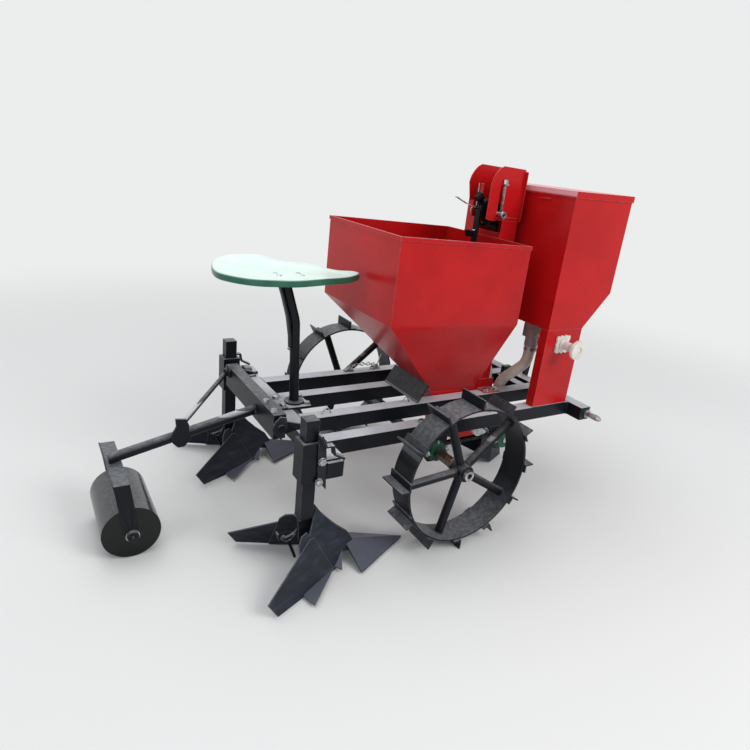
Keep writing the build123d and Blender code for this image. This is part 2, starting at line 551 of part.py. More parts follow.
parts["press_roller"] = roller - rod_y(ROLL_X, ROLL_Z, -ROLL_HALF - 1, ROLL_HALF + 1, 12.08)

# The origin is on the floor, in the middle of the whole outline
CENTRE_X = (ROLL_X - ROLL_R + MAST_FRONT) / 2
os.makedirs("parts", exist_ok=True)
for name, shape in parts.items():
    export_step(Pos(-CENTRE_X, 0, 0) * shape, "parts/" + name + ".step")
print("centre", CENTRE_X)
print(len(parts), "nodes", round(sum(s.volume for s in parts.values()) / 1e6, 2), "litres")
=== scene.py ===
import json
from contextlib import contextmanager
from math import cos, pi, radians, sin, sqrt

import bmesh
import bpy
from mathutils import Matrix, Vector


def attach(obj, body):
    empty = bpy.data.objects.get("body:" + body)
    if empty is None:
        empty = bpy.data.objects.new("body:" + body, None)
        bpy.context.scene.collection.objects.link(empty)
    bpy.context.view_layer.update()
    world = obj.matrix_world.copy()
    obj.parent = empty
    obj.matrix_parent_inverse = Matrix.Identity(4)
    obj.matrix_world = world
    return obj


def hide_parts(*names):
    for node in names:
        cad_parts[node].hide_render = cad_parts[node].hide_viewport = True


bl_info = {
    "name": "Potato planter",
    "version": (1, 0, 0),
    "blender": (4, 5, 0),
    "location": "View3D > Sidebar > Planter",
    "description": "Dresses the planter's frame with its paint, fasteners, seat and fittings",
    "category": "Add Mesh",
}

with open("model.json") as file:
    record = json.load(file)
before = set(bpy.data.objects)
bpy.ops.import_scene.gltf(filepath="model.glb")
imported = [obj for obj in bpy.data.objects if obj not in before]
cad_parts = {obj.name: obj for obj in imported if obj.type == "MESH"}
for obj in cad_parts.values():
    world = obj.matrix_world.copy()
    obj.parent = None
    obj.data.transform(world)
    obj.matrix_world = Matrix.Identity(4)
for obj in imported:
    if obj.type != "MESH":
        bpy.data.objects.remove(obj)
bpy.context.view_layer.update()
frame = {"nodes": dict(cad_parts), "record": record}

# The axle lies this far forward of the origin, and places below are measured from it
AXLE_X = 124

# Places and sizes of the machine in millimetres
AXLE_Z = 263
BEAM_TOP = 361
OUTER_BEAM_Y = 249
INNER_BEAM_Y = 91
HEAD_X, HEAD_Z = 308, 1023
BOOT_X = 296
CHAIN_Y = -170
CHAIN_RADIUS = 48
CHAIN_PITCH = 19.05
KNOB_X, KNOB_Z = 517, 602
SEAT_Y = 17

UP = (0, 0, 1)

# Height in metres from which the lid's rear face gets its painted sky-lit band
BRIM_Z = 1.111

# Thickness of a washer in metres
WASHER = 0.0025


def spot(x, y, z):
    """A point from millimetres forward of the axle, to the left and above the floor."""
    return Vector(((x + AXLE_X) / 1000, y / 1000, z / 1000))


# Modelling helpers


def deselect():
    bpy.ops.object.select_all(action="DESELECT")


def take(piece):
    """Selects one piece and makes it active."""
    deselect()
    piece.select_set(True)
    bpy.context.view_layer.objects.active = piece


@contextmanager
def editing(piece, whole=False):
    """Edit mode on one piece with nothing or all of it selected, and its mesh to choose elements in."""
    take(piece)
    bpy.ops.object.mode_set(mode="EDIT")
    bpy.ops.mesh.select_all(action="SELECT" if whole else "DESELECT")
    yield bmesh.from_edit_mesh(piece.data)
    bmesh.update_edit_mesh(piece.data)
    bpy.ops.object.mode_set(mode="OBJECT")


def pick(mesh, wanted, kind="faces"):
    """Selects the elements of an edit mesh that a test accepts."""
    for element in getattr(mesh, kind):
        element.select_set(bool(wanted(element)))
    mesh.select_flush_mode()


def settle(piece):
    """Moves the piece's place into its mesh, so that its object sits at the origin."""
    take(piece)
    bpy.ops.object.transform_apply(location=True, rotation=True, scale=True)
    return piece


def primitive(add, name, **settings):
    """Adds a primitive by its operator, names it and settles it."""
    deselect()
    add(**settings)
    piece = bpy.context.object
    piece.name = name
    return settle(piece)


def modify(piece, kind, **settings):
    """Adds a modifier and applies it."""
    take(piece)
    modifier = piece.modifiers.new(kind.title(), kind)
    for name, value in settings.items():
        setattr(modifier, name, value)
    bpy.ops.object.modifier_apply(modifier=modifier.name)


def soften(piece, width):
    """Rounds a piece's sharp edges."""
    modify(piece, "BEVEL", width=width, segments=2, limit_method="ANGLE")


def facing(point, direction, spin=0.0):
    """The matrix that puts a thing modelled along +Z at a point, facing a direction."""
    turn = Vector(direction).to_track_quat("Z", "Y").to_matrix().to_4x4()
    return Matrix.Translation(point) @ turn @ Matrix.Rotation(radians(spin), 4, "Z")


def outward(x, y, z):
    """The places of a thing that faces outward on the left and on the right."""
    return [facing(spot(x, side * y, z), (0, side, 0)) for side in (1, -1)]


def copies(source, name, places):
    """Copies a source to each matrix, joins the copies and removes the source."""
    made = []
    for place in places:
        twin = source.copy()
        twin.data = source.data.copy()
        twin.data.transform(place)
        bpy.context.collection.objects.link(twin)
        made.append(twin)
    bpy.data.objects.remove(source)
    return join(made, name)


def join(parts, name):
    deselect()
    for part in parts:
        part.select_set(True)
    bpy.context.view_layer.objects.active = parts[0]
    if len(parts) > 1:
        bpy.ops.object.join()
    parts[0].name = name
    return parts[0]


def new_curve(points, name, kind):
    """A curve object with one spline through the points."""
    deselect()
    bpy.ops.curve.primitive_nurbs_path_add()
    curve = bpy.context.object
    curve.name = name
    curve.data.splines.clear()
    spline = curve.data.splines.new(kind)
    spline.points.add(len(points) - 1)
    for point, place in zip(spline.points, points):
        point.co = (*place, 1.0)
    return curve, spline


def to_mesh(curve):
    take(curve)
    bpy.ops.object.convert(target="MESH")
    return bpy.context.object


def rod_along(points, radius, name):
    """A round rod or wire along points, made as a path curve and turned into a mesh."""
    path, spline = new_curve(points, name, "NURBS")
    spline.order_u = 3
    spline.use_endpoint_u = True
    path.data.dimensions = "3D"
    path.data.resolution_u = 6
    path.data.bevel_depth = radius
    path.data.bevel_resolution = 4
    path.data.use_fill_caps = True
    return settle(to_mesh(path))


def flat_shape(points, name, thickness, place, closed=True, filled=True):
    """A plate with the given outline, thickened both ways; not filled, an upright ribbon or a bare ring."""
    curve, spline = new_curve([(x, y, 0.0) for x, y in points], name, "POLY")
    spline.use_cyclic_u = closed
    curve.data.dimensions = "2D"
    curve.data.fill_mode = "BOTH" if closed and filled else "NONE"
    curve.data.extrude = thickness / 2
    plate = to_mesh(curve)
    with editing(plate, whole=True):
        bpy.ops.mesh.remove_doubles(threshold=0.00002)
    plate.data.transform(place)
    return settle(plate)


def strap(points, name, width, thickness, place):
    """A flat bar of the given width, bent along points in one plane."""
    bar = flat_shape(points, name, width, place, closed=False)
    modify(bar, "SOLIDIFY", thickness=thickness, offset=0.0)
    soften(bar, min(thickness, width) * 0.2)
    return bar


def grow(rings, size, height):
    """Extrudes the selected loop of edges through rings of the given sizes and heights."""
    for next_size, next_height in rings:
        ratio = next_size / size
        bpy.ops.mesh.extrude_edges_move()
        bpy.ops.transform.resize(value=(ratio, ratio, 1.0), center_override=(0, 0, 0))
        bpy.ops.transform.translate(value=(0, 0, next_height - height))
        size, height = next_size, next_height


def face_outward():
    bpy.ops.mesh.select_all(action="SELECT")
    bpy.ops.mesh.normals_make_consistent(inside=False)


def turned(profile, name, sides=32, closed=False):
    """A turned piece about Z from radii and heights. A closed profile makes a ring."""
    radius, height = profile[0]
    piece = primitive(bpy.ops.mesh.primitive_circle_add, name, vertices=sides, radius=radius,
                      location=(0, 0, height))
    with editing(piece, whole=True):
        grow(profile[1:], radius, height)
    with editing(piece) as mesh:
        pick(mesh, lambda e: e.is_boundary, "edges")
        if closed:
            bpy.ops.mesh.bridge_edge_loops()
        else:
            bpy.ops.mesh.fill_holes(sides=0)
        face_outward()
    return piece


def across_x(x=0, y=0, z=0):
    """Puts a shape drawn in X and Y upright in X and Z at a place in millimetres."""
    return Matrix.Translation(Vector((x, y, z)) / 1000) @ Matrix.Rotation(radians(90), 4, "X")


def side_points(rows):
    """Points in X and Z, in millimetres forward of the axle and above the floor, for across_x."""
    return [((x + AXLE_X) / 1000, z / 1000) for x, z in rows]


def across_y(x=0):
    """Puts a shape drawn in X and Y upright in Y and Z, at a place in millimetres along X."""
    return Matrix(((0, 0, 1, (x + AXLE_X) / 1000), (1, 0, 0, 0), (0, 1, 0, 0), (0, 0, 0, 1)))


def line_points(start, end, step=3.0):
    """Places every step millimetres from start to end."""
    start, end = Vector(start), Vector(end)
    count = max(1, round((end - start).length / step))
    return [spot(*start.lerp(end, k / count)) for k in range(count + 1)]


def ring_points(centre, axis, radius, step=3.2):
    """Places round a circle, every step millimetres."""
    turn = Vector(axis).to_track_quat("Z", "Y")
    count = max(6, round(2 * pi * radius / step))
    angles = [2 * pi * k / count for k in range(count)]
    return [spot(*(Vector(centre) + turn @ Vector((radius * cos(a), radius * sin(a), 0)))) for a in angles]


def weld_bead(points, size, name):
    """A welded seam of overlapping flattened beads."""
    bead = primitive(bpy.ops.mesh.primitive_ico_sphere_add, name, subdivisions=1, radius=size)
    with editing(bead, whole=True):
        bpy.ops.transform.resize(value=(1.0, 1.0, 0.75))
    places = [Matrix.Translation(point) @ Matrix.Rotation(2.4 * n, 4, "Z")
              @ Matrix.Scale(0.92 + 0.1 * (n % 3), 4) for n, point in enumerate(points)]
    return copies(bead, name, places)


def dress(piece, finish, body="planter", angle=35):
    """Smooths a new piece and gives it its material and its body."""
    take(piece)
    bpy.ops.object.shade_smooth_by_angle(angle=radians(angle))
    piece.data.materials.clear()
    piece.data.materials.append(FINISH[finish])
    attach(piece, body)
    return piece


# Materials


def tone(code):
    """A linear colour from an sRGB hex value."""
    parts = [int(code[i:i + 2], 16) / 255 for i in (1, 3, 5)]
    linear = [c / 12.92 if c <= 0.04045 else ((c + 0.055) / 1.055) ** 2.4 for c in parts]
    return (*linear, 1.0)


def fill(tree, node, links):
    """Gives a node's inputs their values, or links them."""
    for name, value in links.items():
        socket = node.inputs[name]
        if isinstance(value, bpy.types.NodeSocket):
            tree.links.new(value, socket)
        else:
            socket.default_value = value


def add_node(tree, kind, links=None, **settings):
    """Adds a shader node, sets its properties, values and links, and returns it."""
    node = tree.nodes.new(kind)
    for name, value in settings.items():
        setattr(node, name, value)
    fill(tree, node, links or {})
    return node


def new_material(name):
    """An empty material with its shader, its output and the object's coordinates."""
    material = bpy.data.materials.new(name)
    material.use_nodes = True
    tree = material.node_tree
    tree.nodes.clear()
    shader = add_node(tree, "ShaderNodeBsdfPrincipled")
    add_node(tree, "ShaderNodeOutputMaterial", {"Surface": shader.outputs["BSDF"]})
    place = add_node(tree, "ShaderNodeTexCoord").outputs["Object"]
    return material, tree, shader, place


def noise(tree, place, size_mm, detail=3.0, roughness=0.5):
    """A noise pattern whose features are about size_mm wide."""
    return add_node(tree, "ShaderNodeTexNoise", {
        "Vector": place, "Scale": 1000 / size_mm, "Detail": detail, "Roughness": roughness}).outputs["Fac"]


def mapped(tree, value, low=0.0, high=1.0, to_low=0.0, to_high=1.0):
    """Maps the range from low to high onto another."""
    return add_node(tree, "ShaderNodeMapRange", {
        "Value": value, "From Min": low, "From Max": high,
        "To Min": to_low, "To Max": to_high}).outputs["Result"]


def ramp_of(tree, factor, *stops):
    """A ramp through colours at the given positions."""
    node = add_node(tree, "ShaderNodeValToRGB", {"Fac": factor})
    ramp = node.color_ramp.elements
    while len(ramp) < len(stops):
        ramp.new(0.5)
    for element, (position, colour) in zip(ramp, stops):
        element.position = position
        element.color = tone(colour)
    return node.outputs["Color"]


def blend(tree, factor, first, second):
    """Covers a colour with a second one, which is a hex value or a socket."""
    second = tone(second) if isinstance(second, str) else second
    return add_node(tree, "ShaderNodeMix", {"Factor": factor, "A": first, "B": second},
                    data_type="RGBA").outputs["Result"]


def reckon(tree, operation, first, second):
    return add_node(tree, "ShaderNodeMath", {0: first, 1: second}, operation=operation).outputs["Value"]


def times(tree, first, second):
    return reckon(tree, "MULTIPLY", first, second)


def height_of(tree, place):
    return add_node(tree, "ShaderNodeSeparateXYZ", {"Vector": place}).outputs["Z"]


def bump(tree, height, distance_mm, strength):
    return add_node(tree, "ShaderNodeBump", {
        "Height": height, "Distance": distance_mm / 1000, "Strength": strength}).outputs["Normal"]


def looking(tree, axis, way=1):
    """How far the surface looks along an axis of its own object, from 0 to 1."""
    normal = add_node(tree, "ShaderNodeTexCoord").outputs["Normal"]
    split = add_node(tree, "ShaderNodeSeparateXYZ", {"Vector": normal})
    return mapped(tree, split.outputs[axis], 0.3 * way, 0.95 * way)


def upward(tree):
    return looking(tree, "Z")


def on_frame_tops(tree, place, most):
    """A mask of the given strength where the frame's beams have their tops, for a painted sky reflection with
    some dust.
    """
    height = height_of(tree, place)
    above = reckon(tree, "GREATER_THAN", height, 0.355)
    below = reckon(tree, "LESS_THAN", height, 0.369)
    patches = mapped(tree, noise(tree, place, 120, 5.0, 0.6), 0.3, 0.6, most * 0.72, most)
    return times(tree, times(tree, above, below), patches)


def worn_edge(tree, width_mm):
    """A mask that is 1 along sharp outer edges, where paint rubs off first."""
    rounded = add_node(tree, "ShaderNodeBevel", {"Radius": width_mm / 1000}, samples=6)
    normal = add_node(tree, "ShaderNodeNewGeometry").outputs["Normal"]
    match = add_node(tree, "ShaderNodeVectorMath", {
        0: rounded.outputs["Normal"], 1: normal}, operation="DOT_PRODUCT")
    return mapped(tree, match.outputs["Value"], 0.98, 0.86)


def enamel(name, dark, light, dust, worn_and_highlight, wear_and_highlight, gloss, coat, dusty, shine, top_dust_and_sky=0.0, bleached=0.0):
    """Sprayed alkyd enamel on steel: even colour with faint clouds, orange peel, dust and a painted sky
    reflection on top faces, and thin lighter edges where the paint has rubbed, partly a painted edge
    highlight."""
    material, tree, shader, place = new_material(name)
    base = ramp_of(tree, noise(tree, place, 160, 4.0), (0.3, dark), (0.7, light))
    specks = noise(tree, place, 14, 6.0, 0.7)
    # Dust specks on faces that look up, partly a painted reflection of the sky
    dust_and_sky_mask = times(tree, upward(tree), mapped(tree, specks, 0.42, 0.72, dusty * 0.45, dusty))
    # Painted sky reflection, with some dust, on the tops of the frame's beams
    if top_dust_and_sky:
        tops = times(tree, upward(tree), on_frame_tops(tree, place, top_dust_and_sky))
        dust_and_sky_mask = reckon(tree, "MAXIMUM", dust_and_sky_mask, tops)
    # A painted sky-lit band along the top of the lid's rear face
    if bleached:
        brim = mapped(tree, height_of(tree, place), BRIM_Z, BRIM_Z + 0.005, 0.0, bleached)
        dust_and_sky_mask = reckon(tree, "MAXIMUM", dust_and_sky_mask, times(tree, looking(tree, "X", -1), brim))
    dusted_and_sky_lit = blend(tree, dust_and_sky_mask, base, dust)
    chips = mapped(tree, noise(tree, place, 9, 5.0, 0.65), 0.35, 0.6)
    # Lighter rubbed edges, partly a painted edge highlight
    edge = times(tree, times(tree, worn_edge(tree, 1.6), chips), wear_and_highlight)
    fill(tree, shader, {
        "Base Color": blend(tree, edge, dusted_and_sky_lit, worn_and_highlight),
        "Roughness": mapped(tree, specks, to_low=gloss - 0.07, to_high=gloss + 0.13),
        "Specular IOR Level": shine, "Coat Weight": coat, "Coat Roughness": 0.12,
        "Normal": bump(tree, noise(tree, place, 3.0, 1.0), 0.06, 0.35)})
    return material


def scuffed_steel(name):
    """Mould boards and shares: black enamel scuffed grey by soil, with long rubbed streaks, and painted sky
    light on faces that look up.
    """
    material, tree, shader, place = new_material(name)
    stretched = add_node(tree, "ShaderNodeMapping", {"Vector": place, "Scale": (1.0, 3.0, 5.0)})
    streaks = noise(tree, stretched.outputs["Vector"], 90, 7.0, 0.62)
    colour = ramp_of(tree, streaks, (0.3, "#0f1219"), (0.5, "#181c26"), (0.66, "#262b39"), (0.82, "#3f4555"))
    # Painted sky light: faces that look up are lightened towards a pale blue grey
    sky_lit_colour = blend(tree, times(tree, upward(tree), 0.4), colour, "#868c99")
    fill(tree, shader, {
        "Base Color": blend(tree, times(tree, worn_edge(tree, 1.8), 0.6), sky_lit_colour, "#9a9da2"),
        "Roughness": mapped(tree, streaks, to_low=0.5, to_high=0.34),
        "Metallic": 0.12, "Specular IOR Level": 0.22,
        "Normal": bump(tree, noise(tree, place, 6, 4.0), 0.15, 0.4)})
    return material


def zinc_plate(name, dark="#8d9094", light="#c3c5c6", rough_low=0.22):
    """Bright zinc plate on turned steel: metal with a faint mottle and fine turning marks."""
    material, tree, shader, place = new_material(name)
    mottle = noise(tree, place, 11, 5.0, 0.6)
    fill(tree, shader, {
        "Base Color": ramp_of(tree, mottle, (0.35, dark), (0.65, light)),
        "Roughness": mapped(tree, mottle, to_low=rough_low, to_high=rough_low + 0.25),
        "Metallic": 1.0,
        "Normal": bump(tree, noise(tree, place, 1.6, 2.0), 0.04, 0.4)})
    return material


def moulded_plastic(name, dark, light, gloss, weathered, stain, shine=0.4):
    """Injection-moulded plastic: even colour, soft gloss, a fine matt grain and field dirt."""
    material, tree, shader, place = new_material(name)
    base = ramp_of(tree, noise(tree, place, 40, 3.0), (0.3, dark), (0.7, light))
    dirt = mapped(tree, noise(tree, place, 22, 6.0, 0.7), 0.5, 0.75, 0.0, stain)
    fill(tree, shader, {
        "Base Color": blend(tree, dirt, base, weathered),
        "Roughness": gloss, "Specular IOR Level": shine,
        "Normal": bump(tree, noise(tree, place, 1.2, 1.0), 0.05, 0.3)})
    return material


def seat_enamel(name):
    """The pressed seat pan: green enamel, with a painted highlight in pale mint where it faces up and painted
    shade in dark green on its sides and under.
    """
    material, tree, shader, place = new_material(name)
    clouds = noise(tree, place, 70, 5.0, 0.6)
    # A shaded and a lit copy of the green, blended by how far the surface faces up
    shaded_green = ramp_of(tree, clouds, (0.3, "#1f5443"), (0.7, "#2c6b54"))
    lit_pale_green = ramp_of(tree, clouds, (0.3, "#cfe9df"), (0.7, "#e2f4ec"))
    scratches = mapped(tree, noise(tree, place, 7, 8.0, 0.8), 0.62, 0.78, 0.0, 0.5)
    fill(tree, shader, {
        "Base Color": blend(tree, scratches, blend(tree, upward(tree), shaded_green, lit_pale_green), "#6f8a7c"),
        "Roughness": 0.3, "Specular IOR Level": 0.3, "Coat Weight": 0.1,
        "Normal": bump(tree, noise(tree, place, 4, 2.0), 0.06, 0.4)})
    return material


def dusty_hose(name):
    """Clear PVC hose gone cream with fertiliser dust, with a faint spiral of its wall."""
    material, tree, shader, place = new_material(name)
    clouds = noise(tree, place, 60, 5.0, 0.6)
    colour = ramp_of(tree, clouds, (0.3, "#cdc7ba"), (0.7, "#efeae0"))
    upper = mapped(tree, height_of(tree, place), 0.465, 0.53, 0.0, 0.7)
    rings = add_node(tree, "ShaderNodeTexWave", {"Vector": place, "Scale": 45.0, "Distortion": 0.2},
                     bands_direction="Z")
    fill(tree, shader, {
        "Base Color": blend(tree, times(tree, upper, clouds), colour, "#9c5f33"),
        "Roughness": 0.38, "Subsurface Weight": 0.15, "Subsurface Scale": 0.004,
        "Normal": bump(tree, rings.outputs["Fac"], 0.5, 0.35)})
    return material


FINISH = {
    # The pale dust colours also paint the sky's reflection on faces that look up, and the light worn colours
    # also paint an edge highlight
    "black_paint": enamel("Black alkyd enamel", "#0e1014", "#171a20", "#d0d5db", "#8a909b",
                          wear_and_highlight=0.55, gloss=0.34, coat=0.0, dusty=0.33, top_dust_and_sky=0.9, shine=0.16),
    "strap_paint": enamel("Dusty black enamel", "#181b20", "#23262d", "#c6cbd1", "#a4aab4",
                          wear_and_highlight=0.8, gloss=0.4, coat=0.0, dusty=0.9, shine=0.2),
    "black_gloss": enamel("Gloss black enamel", "#050607", "#0a0b0d", "#9a9da3", "#5c5f63",
                          wear_and_highlight=0.4, gloss=0.14, coat=0.22, dusty=0.42, shine=0.22),
    "red_paint": enamel("Red alkyd enamel", "#ab0d11", "#bd1618", "#e2a3ab", "#e6a9a6",
                        wear_and_highlight=0.75, gloss=0.27, coat=0.05, dusty=0.75, shine=0.2),
    "lid_paint": enamel("Bleached red enamel", "#ab0d11", "#bd1618", "#eab4bb", "#f0c4c6",
                        wear_and_highlight=0.9, gloss=0.27, coat=0.05, dusty=0.8, shine=0.2, bleached=0.75),
    "plough_steel": scuffed_steel("Scuffed plough steel"),
    "green_seat": seat_enamel("Green seat enamel"),
    "bright_steel": zinc_plate("Bright zinc plate"),
    "chain_steel": zinc_plate("Oiled chain steel", "#1c1b19", "#3b3936", 0.34),
    "black_rubber": moulded_plastic("Black moulded rubber", "#07080a", "#111316", 0.5, "#2f2d2a", 0.3, 0.16),
    "white_plastic": moulded_plastic("White nylon", "#cfcac2", "#e4e1da", 0.38, "#9d9487", 0.3),
    "grey_plastic": moulded_plastic("Grey polypropylene", "#8d8a88", "#a9a6a2", 0.45, "#6b665d", 0.35),
    "cream_hose": dusty_hose("Cream PVC hose"),
    "green_cast": enamel("Green enamel on cast iron", "#0d3a2a", "#145240", "#7f978c", "#9aa8a0",
                         wear_and_highlight=0.5, gloss=0.35, coat=0.05, dusty=0.3, shine=0.3),
    "bare_steel": zinc_plate("Bare turned steel", "#5d5147", "#8d8174", 0.32),
}


# Sizes and colours that a user would change


class PlanterSizes(bpy.types.PropertyGroup):
    edge_radius: bpy.props.FloatProperty(
        name="Edge radius", description="Rounding of the painted pieces' edges",
        default=0.0009, min=0.0, max=0.005, unit="LENGTH")
    bolt_across: bpy.props.FloatProperty(
        name="Bolt head", description="Width of an M12 bolt's head across its flats",
        default=0.019, min=0.01, max=0.04, unit="LENGTH")
    wire_radius: bpy.props.FloatProperty(
        name="Wire radius", description="Radius of the wire hooks on the inner beam",
        default=0.0022, min=0.001, max=0.01, unit="LENGTH")
    floor_radius: bpy.props.FloatProperty(
        name="Floor radius", description="Radius of the studio floor",
        default=14.0, min=3.0, max=40.0, unit="LENGTH")


class PlanterColours(bpy.types.PropertyGroup):
    floor: bpy.props.FloatVectorProperty(
        name="Floor", description="Colour of the studio floor", subtype="COLOR",
        size=4, default=tone("#dedfde"), min=0.0, max=1.0)
    backdrop: bpy.props.FloatVectorProperty(
        name="Backdrop", description="Colour behind the planter", subtype="COLOR",
        size=4, default=tone("#eceded"), min=0.0, max=1.0)


def sizes():
    return bpy.context.scene.planter_sizes


def colours():
    return bpy.context.scene.planter_colours


# Pieces


def cylinder(name, sides, radius, depth, middle):
    """An upright cylinder on the Z axis."""
    return primitive(bpy.ops.mesh.primitive_cylinder_add, name, vertices=sides, radius=radius,
                     depth=depth, location=(0, 0, middle))


def hex_head(across, height, name="bolt"):
    """A hexagon head on its washer, standing on the XY plane."""
    head = cylinder(name, 6, across / sqrt(3), height, height / 2 + WASHER)
    top = height + WASHER
    with editing(head) as mesh:
        pick(mesh, lambda e: all(abs(v.co.z - top) < 1e-5 for v in e.verts), "edges")
        bpy.ops.mesh.bevel(offset=across * 0.09, segments=2)
    washer = cylinder(name + "_washer", 24, across * 0.62, WASHER, WASHER / 2)
    return join([head, washer], name)


def nut_and_stud(across, name="nut"):
    """A nut on its washer with the end of its bolt standing out."""
    nut = hex_head(across, across * 0.45, name)
    stud = cylinder(name + "_stud", 16, across * 0.3, across * 0.8, across * 0.4)
    with editing(stud) as mesh:
        pick(mesh, lambda e: all(v.co.z > across * 0.79 for v in e.verts), "edges")
        bpy.ops.mesh.bevel(offset=across * 0.05, segments=1)
    return join([nut, stud], name)


class PLANTER_OT_paint_frame(bpy.types.Operator):
    """Paints every piece of the frame and rounds its edges"""
    bl_idname = "planter.paint_frame"
    bl_label = "Paint and edges"

    def execute(self, context):
        slots = {part["node"]: part["material_slot"] for part in frame["record"]["subparts"]}
        finer = {"fertiliser_lid": "lid_paint"}
        for name, node in frame["nodes"].items():
            node.data.materials.clear()
            node.data.materials.append(FINISH[finer.get(name, slots[name])])
            take(node)
            if node.data.has_custom_normals:
                bpy.ops.mesh.customdata_custom_splitnormals_clear()
            bpy.ops.object.shade_smooth()
            weld = node.modifiers.new("Weld", "WELD")
            weld.merge_threshold = 0.00001
            edge = node.modifiers.new("Edges", "BEVEL")
            edge.width = sizes().edge_radius
            edge.segments = 2
            edge.limit_method = "ANGLE"
            edge.angle_limit = radians(32)
            edge.harden_normals = True
        return {"FINISHED"}


def round_head(radius, height, name="round_head"):
    """A domed carriage bolt's head, standing on the XY plane."""
    return turned([(radius, 0.0), (radius, height * 0.25), (radius * 0.86, height * 0.6),
                   (radius * 0.55, height * 0.88), (radius * 0.18, height)], name, 20)


def both_sides(rows):
    """Each place and direction on the right and on the left of the machine."""
    return [(x, side * y, z, (dx, side * dy, dz)) for x, y, z, (dx, dy, dz) in rows for side in (1, -1)]


class PLANTER_OT_frame_bolts(bpy.types.Operator):
    """Bolts and nuts of the frame, the seat's base, the feet, the bearings and the clamps"""
    bl_idname = "planter.frame_bolts"
    bl_label = "Frame bolts"

    def execute(self, context):
        across = sizes().bolt_across
        up, down, out, back = UP, (0, 0, -1), (0, 1, 0), (-1, 0, 0)
        hanger = [(x, OUTER_BEAM_Y) for x in (-50, 50)]
        boot_hanger = [(BOOT_X + x, -OUTER_BEAM_Y) for x in (-50, 50)]
        # Bearing hangers, the duct's feet and the ridgers' clamps
        heads = both_sides([(x, y, BEAM_TOP, up) for x, y in hanger] + [
            (358, 96, 365, up), (407, 96, 365, up), (-484, 391, 369, out), (-490, 391, 306, out)])
        heads += [(x, y, BEAM_TOP, up) for x, y in boot_hanger]
        # Seat base and its bracket
        heads += [(x, y, z, up) for x, z in ((-360, 367), (-446, 371)) for y in (-12, 52)]
        heads += [(-471, 0, 346, back), (-471, 66, 350, back)]
        nuts = both_sides([(x, y, 303, down) for x, y in hanger])
        nuts += [(x, y, 303, down) for x, y in boot_hanger]
        # Flange bolts of the bearing housings
        nuts += both_sides([(x, 285, AXLE_Z, out) for x in (-38, 38)])
        nuts += [(BOOT_X + x, -285, AXLE_Z, (0, -1, 0)) for x in (-38, 38)]
        for rows, source, name in ((heads, hex_head(across, across * 0.4), "frame_bolts"),
                                   (nuts, nut_and_stud(across), "frame_nuts")):
            places = [facing(spot(x, y, z), way, x + y) for x, y, z, way in rows]
            dress(copies(source, name, places), "bright_steel")
        return {"FINISHED"}


class PLANTER_OT_axle_fittings(bpy.types.Operator):
    """Axle ends and sleeves, grease nipples, and the washers and covers of the roller's pin"""
    bl_idname = "planter.axle_fittings"
    bl_label = "Axle fittings"

    def execute(self, context):
        end = turned([(0.0176, -0.012), (0.0178, -0.0015), (0.0165, 0.0005), (0.0095, 0.0005),
                      (0.0085, -0.004)], "axle_end")
        dress(copies(end, "axle_ends", outward(0, 466, AXLE_Z)), "bright_steel", "wheels")
        sleeve = turned([(0.0171, 0.0), (0.0178, 0.001), (0.0178, 0.066), (0.0192, 0.067), (0.0192, 0.078),
                         (0.0178, 0.079), (0.0178, 0.093), (0.0171, 0.094)], "axle_sleeve", 36)
        dress(copies(sleeve, "axle_sleeves", outward(0, 301.5, AXLE_Z)), "bare_steel", "wheels")
        nipple = turned([(0.0045, -0.001), (0.0045, 0.004), (0.0026, 0.0055), (0.0032, 0.008),
                         (0.0012, 0.0105)], "grease_nipple", 12)
        places = [facing(spot(x, y, 294), UP) for x, y in ((0, 292), (0, -292), (BOOT_X, -292))]
        dress(copies(nipple, "grease_nipples", places), "bright_steel")
        washer = turned([(0.0122, 0.0), (0.0195, 0.0), (0.0195, 0.003), (0.0122, 0.003)], "washer", 28, True)
        places = outward(-942, 139.2, 83)
        dress(copies(washer, "roller_washers", places), "bright_steel", "roller_arm")
        cover = turned([(0.0165, 0.003), (0.0165, 0.0095), (0.014, 0.0112), (0.004, 0.0115), (0.003, 0.0105)],
                       "pin_cover", 28)
        dress(copies(cover, "pin_covers", places), "black_paint", "roller_arm")
        return {"FINISHED"}


